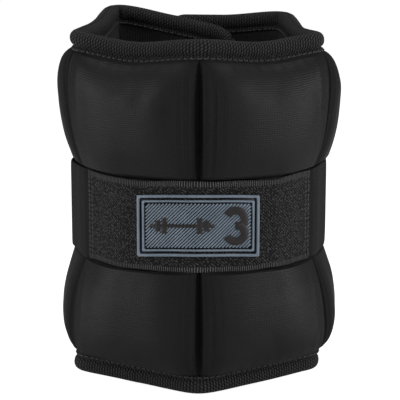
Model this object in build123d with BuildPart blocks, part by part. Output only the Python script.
from build123d import *
import os
from dataclasses import dataclass
from math import radians, tan

os.makedirs("parts", exist_ok=True)

# ---------------------------------------------------------------------------
# Ankle cuff weight: a padded wrap of six weighted pockets with 50 mm webbing
# round its waist, closed at the back by a hook-and-loop tail.
# Frame: +Z up, the front faces -Y, and the origin is on the ground.
# Each pocket is drawn in its own plane: X runs along the wrap, Y points
# outwards from the layer where the cloths are sewn together, and Z is up.
# ---------------------------------------------------------------------------

# Driving dimensions, mm
height = 196.0              # over both bound edges
pitch = 74.0                # one pocket, from sewn channel to sewn channel
front_channel_y = -59.22    # centre front channel; centres the shut ring on the origin
joint_gap = 0.25            # cut-back of every pocket from its hinge plane

cloth = 2.5                 # neoprene or knit, each layer
binding_thick = 9.0
binding_tall = 10.0
binding_round = 3.5
slot_depth = 6.0            # how far the cloths reach into a binding
flange = 4.0                # flat cloth left beside a channel

front_rise = 23.5           # fattest part of the front and side pockets
back_rise = 19.0            # the overlapped back pockets lie flatter
waist_rise = 10.2           # where the strap draws a pocket in
neck_rise = 8.0             # close to a bound edge
neck_level = 14.0           # where the swelling starts above the ground
shoulder_run = 12.0         # from there up to the swelling's shoulder
crown_run = 28.0            # from there up to the fattest part
waist_run = 10.0            # from the strap's edge to where the pocket fills out again
waist_clear = 1.0           # between the strap's edge and the drawn-in part's end
shoulder_share = 0.80       # swelling at the shoulder, of the fattest part
waist_share = 0.86          # swelling just clear of the waist
side_share = 0.45           # part of the swelling's height that is its upright side
bag_inset = 4.0             # pocket's outer face to the side of its weight bag
bag_room = 3.4              # pocket's outer face to the crown of its weight bag
bag_lift = 0.1
bag_wall = 0.8
fill_room = 0.3

strap_wide = 50.0
strap_middle = 96.0
strap_thick = 2.0
strap_low = 5.0             # underside at a channel
strap_high = 11.0           # underside over a pocket
strap_bend = 14.0           # channel to the edge of the strap's flat
label_bend = 6.0            # the same beside the label, where it hardly dips
label_dip = 1.0

tail_wide = 46.0
tail_lap = 34.0             # length of the tail over the left side's strap
tail_bend_along = 70.0      # where the tail turns on to the left side
pivot_room = 1.2            # webbing cut back from each of the tail's pivots
hook_clear = 0.5            # between the hooks and the loops they lie on
hook_thick = 1.0
hook_margin = 2.0
tab_reach = 9.0
tab_wide = 30.0
tab_thick = 1.4

label_wide = 65.0
label_tall = 33.0
label_base = 1.0
frame_thick = 0.9
frame_wide = 3.0
relief_thick = 0.7
numeral_wide = 14.0
numeral_tall = 20.0
stroke = 4.5
emblem_wide = 18.0
emblem_tall = 9.0
emblem_bar = 2.25
emblem_plate = 2.25
plate_gap = 0.6
relief_clear = 2.0          # from the label's bend to a mark

# Bends of the ring at its five channels, in degrees: shut, and what is left
# of each when the cuff is fully open.
no_bend = (0.0, 0.0)
right_back_bend = (60.0, 0.0)
right_front_bend = (79.0, 0.0)
centre_front_bend = (50.0, 31.0)
left_front_bend = (79.0, 39.0)
left_back_bend = (90.0, 15.0)


@dataclass
class Pocket:
    """One pocket of the wrap, with the bends at its two channels."""

    name: str
    plane: Plane
    start: tuple
    end: tuple
    rise: float
    free_start: bool = False
    free_end: bool = False


def direction(heading):
    """Unit vector in plan at an angle from +X."""
    return Vector(1, 0, 0).rotate(Axis.Z, heading)


def lay_out():
    """The six pockets, clockwise from above, walked both ways from the centre front."""
    centre = Vector(0, front_channel_y, 0)
    left = [
        ("front_left", centre_front_bend, left_front_bend, front_rise),
        ("left_side", left_front_bend, left_back_bend, front_rise),
        ("inner_back", left_back_bend, no_bend, back_rise),
    ]
    right = [
        ("front_right", right_front_bend, centre_front_bend, front_rise),
        ("right_side", right_back_bend, right_front_bend, front_rise),
        ("outer_back", no_bend, right_back_bend, back_rise),
    ]
    laid = []
    corner = centre
    heading = 180 - centre_front_bend[0] / 2
    for name, start, end, rise in left:
        plane = Plane(corner, x_dir=direction(heading), z_dir=(0, 0, 1))
        laid.append(Pocket(name, plane, start, end, rise, free_end=end is no_bend))
        corner += direction(heading) * pitch
        heading -= end[0]
    corner = centre
    heading = 180 + centre_front_bend[0] / 2
    for name, start, end, rise in right:
        corner -= direction(heading) * pitch
        plane = Plane(corner, x_dir=direction(heading), z_dir=(0, 0, 1))
        laid.insert(0, Pocket(name, plane, start, end, rise, free_start=start is no_bend))
        heading += start[0]
    return laid


pockets = lay_out()
by_name = {pocket.name: pocket for pocket in pockets}


def cut_back(bend, out):
    """How far a layer at this distance outwards stops short of its channel's plane."""
    shut, opened = bend
    if out > 0:
        return joint_gap - out * tan(radians(opened / 2))
    return joint_gap - out * tan(radians(shut / 2))


def start_of(pocket, out, free_trim):
    """Where a layer begins along the wrap; free_trim applies at the wrap's own end."""
    return free_trim if pocket.free_start else cut_back(pocket.start, out)


def end_of(pocket, out, free_trim):
    """Where a layer stops along the wrap."""
    return pitch - (free_trim if pocket.free_end else cut_back(pocket.end, out))


def layer(pocket, inner, outer, low, high, free_trim, mode=Mode.ADD):
    """A flat layer of the wrap between two distances outwards and two levels."""
    distances = [inner, 0, outer] if inner < 0 < outer else [inner, outer]
    starts = [(start_of(pocket, out, free_trim), out) for out in distances]
    ends = [(end_of(pocket, out, free_trim), out) for out in distances]
    with BuildSketch(pocket.plane.offset(low)) as outline:
        with BuildLine():
            Polyline(*ends, *reversed(starts), close=True)
        make_face()
    extrude(outline.sketch, amount=high - low, mode=mode)


def keep(builder, name):
    """Label a finished sub-part and write its STEP file."""
    builder.part.label = name
    export_step(builder.part, f"parts/{name}.step")


# --- Cloth layers and bound edges ------------------------------------------

cloth_bottom = binding_tall - slot_depth
cloth_top = height - cloth_bottom
binding_half = binding_thick / 2
cloth_trim = cloth_bottom                       # at the wrap's own ends


def make_liner(pocket):
    """Soft knit-faced panel that lies against the leg."""
    with BuildPart() as liner_panel:
        layer(pocket, -cloth, 0, cloth_bottom, cloth_top, cloth_trim)
    keep(liner_panel, f"{pocket.name}_liner_panel")


def make_edge_binding(pocket, low, high, slot_low, slot_high, rounded, name):
    """Folded binding over the top or bottom edge of one pocket."""
    with BuildPart() as binding:
        layer(pocket, -binding_half, binding_half, low, high, binding_tall)
        with BuildSketch(pocket.plane.offset(slot_low)):
            with Locations((pitch / 2, 0)):
                Rectangle(2 * pitch, 2 * cloth)
        extrude(amount=slot_high - slot_low, mode=Mode.SUBTRACT)
        lengthwise = binding.edges().filter_by(Axis(pocket.plane.origin, pocket.plane.x_dir))
        fillet(lengthwise.group_by(Axis.Z)[rounded], binding_round)
    keep(binding, f"{pocket.name}_{name}")


def make_end_binding(pocket):
    """Folded binding down the wrap's own end."""
    edge = binding_tall / 2 if pocket.free_start else pitch - binding_tall / 2
    slot_shift = cloth_trim if pocket.free_start else -cloth_trim
    with BuildPart() as binding:
        with BuildSketch(pocket.plane):
            with Locations((edge, 0)):
                Rectangle(binding_tall, binding_thick)
        extrude(amount=height)
        uprights = binding.edges().filter_by(Axis.Z)
        along_wrap = uprights.group_by(Axis(pocket.plane.origin, pocket.plane.x_dir))
        fillet(along_wrap[0 if pocket.free_start else -1], binding_round)
        with BuildSketch(pocket.plane.offset(cloth_bottom)):
            with Locations((edge + slot_shift, 0)):
                Rectangle(binding_tall, 2 * cloth)
        extrude(amount=cloth_top - cloth_bottom, mode=Mode.SUBTRACT)
    keep(binding, f"{pocket.name}_end_binding")


# --- Pockets and their filling ---------------------------------------------

def lobe_levels(rise):
    """Height of the swelling at each level: two lobes with the strap's waist between."""
    waist_low = strap_middle - strap_wide / 2 - waist_clear
    waist_high = strap_middle + strap_wide / 2 + waist_clear
    top = height - neck_level
    return [
        (neck_level, neck_rise),
        (neck_level + shoulder_run, shoulder_share * rise),
        (neck_level + crown_run, rise),
        (waist_low - waist_run, waist_share * rise),
        (waist_low, waist_rise),
        (strap_middle, waist_rise),
        (waist_high, waist_rise),
        (waist_high + waist_run, waist_share * rise),
        (top - crown_run, rise),
        (top - shoulder_run, shoulder_share * rise),
        (top, neck_rise),
    ]


def lobe_sections(pocket, base, side_inset, crown_inset, end_inset):
    """Level sections of a pocket's swelling, drawn in by the given insets."""
    left = (binding_tall + flange if pocket.free_start else flange) + side_inset
    right = pitch - (binding_tall + flange if pocket.free_end else flange) - side_inset
    levels = lobe_levels(pocket.rise)
    sections = []
    for number, (level, rise) in enumerate(levels):
        if number == 0:
            level += end_inset
        if number == len(levels) - 1:
            level -= end_inset
        crown = rise - crown_inset
        spring = base + side_share * (crown - base)
        with BuildSketch(pocket.plane.offset(level)) as section:
            with BuildLine():
                Polyline((left, spring), (left, base), (right, base), (right, spring))
                ThreePointArc((right, spring), ((left + right) / 2, crown), (left, spring))
            make_face()
        sections.append(section.sketch)
    return sections


def make_cover(pocket):
    """Outer neoprene shell of one pocket, with its flat flange all round."""
    with BuildPart() as cover:
        layer(pocket, 0, cloth, cloth_bottom, cloth_top, cloth_trim)
        loft(lobe_sections(pocket, cloth / 2, 0, 0, 0), ruled=True)
        loft(lobe_sections(pocket, -1, cloth, cloth, cloth), ruled=True, mode=Mode.SUBTRACT)
    keep(cover, f"{pocket.name}_pocket_cover")


def make_weight_bag(pocket):
    """Sewn nylon bag that keeps the filling in, a thin closed shell."""
    with BuildPart() as bag:
        loft(lobe_sections(pocket, bag_lift, bag_inset, bag_room, bag_inset), ruled=True)
        loft(
            lobe_sections(
                pocket,
                bag_lift + bag_wall,
                bag_inset + 2 * bag_wall,
                bag_room + bag_wall,
                bag_inset + bag_wall,
            ),
            ruled=True,
            mode=Mode.SUBTRACT,
        )
    keep(bag, f"{pocket.name}_weight_bag")


def make_iron_fill(pocket):
    """Iron grit filling of one pocket."""
    with BuildPart() as fill:
        loft(
            lobe_sections(
                pocket,
                bag_lift + bag_wall + fill_room,
                bag_inset + 2 * bag_wall + 4 * fill_room,
                bag_room + bag_wall + fill_room,
                bag_inset + bag_wall + fill_room,
            ),
            ruled=True,
        )
    keep(fill, f"{pocket.name}_iron_fill")


for pocket in pockets:
    make_liner(pocket)
    make_cover(pocket)
    make_weight_bag(pocket)
    make_iron_fill(pocket)
    make_edge_binding(
        pocket, height - binding_tall, height, height - binding_tall, cloth_top, -1, "top_binding"
    )
    make_edge_binding(
        pocket, 0, binding_tall, cloth_bottom, binding_tall, 0, "bottom_binding"
    )

for pocket in (by_name["outer_back"], by_name["inner_back"]):
    make_end_binding(pocket)


# --- Strap round the waist --------------------------------------------------

def strap_route(pocket):
    """Underside of the strap over one pocket, as points along and outwards."""
    start_bend = label_bend if pocket.start is centre_front_bend else strap_bend
    end_bend = label_bend if pocket.end is centre_front_bend else strap_bend
    start_low = strap_high - label_dip if pocket.start is centre_front_bend else strap_low
    end_low = strap_high - label_dip if pocket.end is centre_front_bend else strap_low
    return [
        (start_of(pocket, start_low, 0), start_low),
        (start_bend, strap_high),
        (pitch - end_bend, strap_high),
        (end_of(pocket, end_low, 0), end_low),
    ]


def webbing(route, plane, lift, thick, wide, mode=Mode.ADD):
    """A band that follows a route at some distance outside it, centred on the strap."""
    inside = [(along, out + lift) for along, out in route]
    outside = [(along, out + lift + thick) for along, out in reversed(route)]
    with BuildSketch(plane.offset(strap_middle - wide / 2)) as band:
        with BuildLine():
            Polyline(*inside, *outside, close=True)
        make_face()
    extrude(band.sketch, amount=wide, mode=mode)


def make_strap(pocket):
    """One pocket's length of the loop-faced strap."""
    with BuildPart() as strap:
        webbing(strap_route(pocket), pocket.plane, 0, strap_thick, strap_wide)
    keep(strap, f"{pocket.name}_strap")


for pocket in pockets:
    make_strap(pocket)


# --- Moulded label over the centre front channel -----------------------------

strap_face = strap_high + strap_thick
label_face = strap_face + label_base


def label_route(pocket, half_wide):
    """Part of the strap's route that one half of the label covers."""
    route = strap_route(pocket)
    if pocket.start is centre_front_bend:
        return [route[0], route[1], (half_wide, strap_high)]
    return [(pitch - half_wide, strap_high), route[2], route[3]]


def make_label_base(pocket):
    """Half of the label's flexible backing."""
    with BuildPart() as base:
        route = label_route(pocket, label_wide / 2)
        webbing(route, pocket.plane, strap_thick, label_base, label_tall)
    keep(base, f"{pocket.name}_label_base")


def make_label_frame(pocket):
    """Half of the raised frame moulded round the label."""
    with BuildPart() as frame:
        lift = strap_thick + label_base
        outer_route = label_route(pocket, label_wide / 2)
        inner_route = label_route(pocket, label_wide / 2 - frame_wide)
        webbing(outer_route, pocket.plane, lift, frame_thick, label_tall)
        webbing(
            inner_route,
            pocket.plane,
            lift,
            frame_thick,
            label_tall - 2 * frame_wide,
            Mode.SUBTRACT,
        )
    keep(frame, f"{pocket.name}_label_frame")


def label_plane(pocket, along):
    """Plane on the label's face, seen from outside: X to the viewer's right, Y up."""
    origin = pocket.plane.from_local_coords((along, label_face, strap_middle))
    return Plane(origin, x_dir=-pocket.plane.x_dir, z_dir=pocket.plane.y_dir)


for pocket in (by_name["front_left"], by_name["front_right"]):
    make_label_base(pocket)
    make_label_frame(pocket)

with BuildPart() as numeral:
    numeral_middle = pitch - label_bend - relief_clear - numeral_wide / 2
    half_wide = numeral_wide / 2
    half_tall = numeral_tall / 2
    waist = stroke / 2
    with BuildSketch(label_plane(by_name["front_right"], numeral_middle)):
        with BuildLine():
            Polyline(
                (-half_wide, -half_tall),
                (half_wide, -half_tall),
                (half_wide, half_tall),
                (-half_wide, half_tall),
                (-half_wide, half_tall - stroke),
                (half_wide - stroke, half_tall - stroke),
                (half_wide - stroke, waist),
                (-half_wide + stroke, waist),
                (-half_wide + stroke, -waist),
                (half_wide - stroke, -waist),
                (half_wide - stroke, -half_tall + stroke),
                (-half_wide, -half_tall + stroke),
                close=True,
            )
        make_face()
    extrude(amount=relief_thick)
keep(numeral, "label_numeral")

with BuildPart() as emblem:
    emblem_middle = label_bend + relief_clear + emblem_wide / 2
    outer_apart = emblem_wide - 3 * emblem_plate
    inner_apart = outer_apart - 2 * (emblem_plate + plate_gap)
    with BuildSketch(label_plane(by_name["front_left"], emblem_middle)):
        Rectangle(emblem_wide, emblem_bar)
        for apart in (outer_apart, inner_apart):
            with GridLocations(apart, 0, 2, 1):
                Rectangle(emblem_plate, emblem_tall)
    extrude(amount=relief_thick)
keep(emblem, "label_emblem")


# --- Tail of the strap, with its hook pad and pull tab -----------------------

left_side = by_name["left_side"].plane
outer_back = by_name["outer_back"].plane
hook_inner = strap_face + hook_clear
tail_inner = hook_inner + hook_thick
tail_end_along = tail_bend_along - tail_lap
root_pivot = outer_back.from_local_coords((-pivot_room, strap_low + strap_thick / 2, 0))
tip_pivot = left_side.from_local_coords((tail_bend_along, tail_inner + strap_thick / 2, 0))
root_run = tip_pivot - root_pivot
tail_low = strap_middle - tail_wide / 2

with BuildPart() as tail_root:
    root_plane = Plane(root_pivot, x_dir=root_run, z_dir=(0, 0, 1))
    with BuildSketch(root_plane.offset(tail_low)):
        with Locations((root_run.length / 2, 0)):
            Rectangle(root_run.length - 2 * pivot_room, strap_thick)
    extrude(amount=tail_wide)
keep(tail_root, "strap_tail_root")

with BuildPart() as tail_tip:
    tip_start = tail_bend_along - pivot_room
    with BuildSketch(left_side.offset(tail_low)):
        with Locations(((tip_start + tail_end_along) / 2, tail_inner + strap_thick / 2)):
            Rectangle(tip_start - tail_end_along, strap_thick)
    extrude(amount=tail_wide)
keep(tail_tip, "strap_tail_tip")

with BuildPart() as hook_pad:
    pad_wide = tail_wide - 2 * hook_margin
    with BuildSketch(left_side.offset(strap_middle - pad_wide / 2)):
        with Locations(((tip_start + tail_end_along) / 2, hook_inner + hook_thick / 2)):
            Rectangle(tip_start - tail_end_along - 2 * hook_margin, hook_thick)
    extrude(amount=pad_wide)
keep(hook_pad, "hook_pad")

with BuildPart() as pull_tab:
    tab_origin = left_side.from_local_coords((tail_end_along, tail_inner, strap_middle))
    tab_plane = Plane(tab_origin, x_dir=-left_side.x_dir, z_dir=left_side.y_dir)
    straight = tab_reach / 2
    with BuildSketch(tab_plane):
        with BuildLine():
            Polyline(
                (straight, tab_wide / 2), (0, tab_wide / 2), (0, -tab_wide / 2), (straight, -tab_wide / 2)
            )
            ThreePointArc((straight, -tab_wide / 2), (tab_reach, 0), (straight, tab_wide / 2))
        make_face()
    extrude(amount=tab_thick)
keep(pull_tab, "pull_tab")
